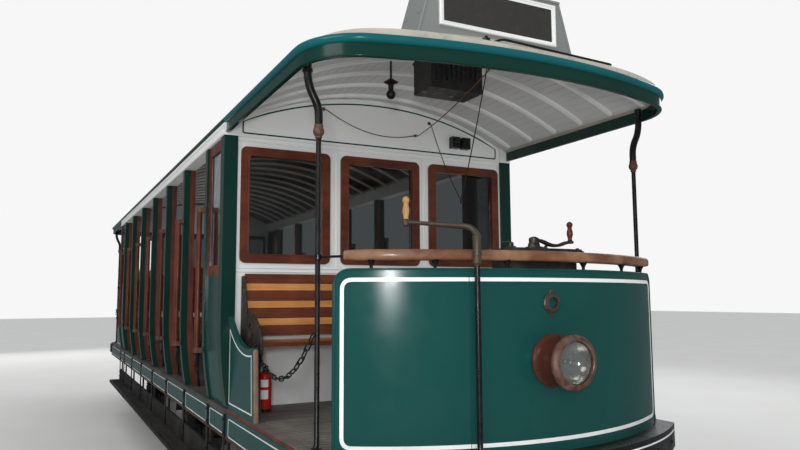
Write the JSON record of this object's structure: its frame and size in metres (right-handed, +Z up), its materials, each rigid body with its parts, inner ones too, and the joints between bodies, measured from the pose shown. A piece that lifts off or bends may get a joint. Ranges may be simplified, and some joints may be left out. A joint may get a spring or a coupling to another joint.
{
  "type": "open-sided four-wheel electric tram",
  "caption": "Open-sided single-deck electric tram with cross benches, bowed canopies, curved dashes, running boards and a trolley pole on the roof.",
  "frame": {"origin": "on the ground under the middle of the car, level with the lowest points of the wheel flanges", "axes": "+X across the car to the right of someone facing +Y, +Y along the car, +Z up; the pictured end is at -Y"},
  "size_m": [2.364, 10.1632, 3.6787],
  "materials": {
    "black_iron": "gloss black",
    "body_green": "gloss enamel, lined in white",
    "box_grey": "satin paint",
    "bronze": "dark bronze, worn",
    "canvas": "painted roof canvas",
    "cord": "braided bell cord",
    "deck_wood": "worn, grooved",
    "glass": "clear",
    "lamp_brown": "gloss brown",
    "mahogany": "varnished",
    "post_green": "gloss enamel on wood",
    "rail_wood": "worn varnish",
    "red_paint": "gloss red",
    "sign_dark": "matt dark blind",
    "slat_red": "varnished",
    "slat_yellow": "varnished",
    "steel": "worn bright",
    "teal": "gloss enamel",
    "truck_black": "oily black paint",
    "white": "gloss enamel"
  },
  "bodies": {
    "body": {"axle_boxes": "truck_black", "bell_cord_bulkhead": "cord", "bell_cord_loop": "cord", "bench_irons": "black_iron", "bench_seats": "slat_red", "board_hangers": "black_iron", "brake_gear": "truck_black", "brake_staffs": "bronze", "bulkheads": "white", "bumpers": "black_iron", "canopy_fascias": "body_green", "canopy_mouldings": "teal", "canopy_poles": "black_iron", "ceiling_fittings": "black_iron", "ceiling_ribs": "white", "control_grips": "rail_wood", "controllers": "truck_black", "coupling_pockets": "black_iron", "dash_ironwork": "bronze", "dash_rails": "rail_wood", "dashes": "body_green", "destination_boxes": "box_grey", "entrance_chains": "black_iron", "fire_extinguisher": "red_paint", "floor": "deck_wood", "grab_handles": "mahogany", "handle_brackets": "bronze", "headlamp_lenses": "glass", "headlamps": "lamp_brown", "letterboards": "white", "lifeguards": "truck_black", "motors": "truck_black", "platform_floors": "deck_wood", "platform_irons": "black_iron", "platform_slats_red": "slat_red", "platform_slats_yellow": "slat_yellow", "post_linings": "mahogany", "posts": "post_green", "quarter_panels": "body_green", "roof": "canvas", "running_boards": "deck_wood", "side_sills": "body_green", "sign_frames": "white", "sign_panels": "sign_dark", "trolley_plank": "deck_wood", "truck_frames": "truck_black", "truck_springs": "truck_black", "underframe": "truck_black", "window_panes": "glass", "window_sashes": "mahogany"},
    "axle_front": {"wheelset_front": "steel"},
    "axle_rear": {"wheelset_rear": "steel"},
    "stand": {"trolley_stand": "truck_black"},
    "pole": {"trolley_pole": "black_iron"},
    "back_1": {"seat_back_1": "slat_red"},
    "back_2": {"seat_back_2": "slat_red"},
    "back_3": {"seat_back_3": "slat_red"},
    "back_4": {"seat_back_4": "slat_red"},
    "back_5": {"seat_back_5": "slat_red"}
  },
  "joints": [
    {"name": "wheel_turn_front", "type": "hinge", "parent": "body", "child": "axle_front", "pos_m": [0, -1.15, 0.406], "axis": [1, 0, 0], "continuous": true},
    {"name": "wheel_turn_rear", "type": "hinge", "parent": "body", "child": "axle_rear", "pos_m": [0, 1.15, 0.406], "axis": [1, 0, 0], "continuous": true},
    {"name": "trolley_swivel", "type": "hinge", "parent": "body", "child": "stand", "pos_m": [0, 0, 3.0863], "axis": [0, 0, 1], "range_deg": [-180, 180]},
    {"name": "trolley_rise", "type": "hinge", "parent": "stand", "child": "pole", "pos_m": [0, 0, 3.1963], "axis": [1, 0, 0], "range_deg": [0, 50]},
    {"name": "seat_swing_1", "type": "hinge", "parent": "body", "child": "back_1", "pos_m": [0, -1.73, 1.135], "axis": [1, 0, 0], "range_deg": [0, 40]},
    {"name": "seat_swing_2", "type": "hinge", "parent": "body", "child": "back_2", "pos_m": [0, -0.865, 1.135], "axis": [1, 0, 0], "range_deg": [0, 40]},
    {"name": "seat_swing_3", "type": "hinge", "parent": "body", "child": "back_3", "pos_m": [0, 0, 1.135], "axis": [1, 0, 0], "range_deg": [0, 40]},
    {"name": "seat_swing_4", "type": "hinge", "parent": "body", "child": "back_4", "pos_m": [0, 0.865, 1.135], "axis": [1, 0, 0], "range_deg": [0, 40]},
    {"name": "seat_swing_5", "type": "hinge", "parent": "body", "child": "back_5", "pos_m": [0, 1.73, 1.135], "axis": [1, 0, 0], "range_deg": [0, 40]}
  ]
}
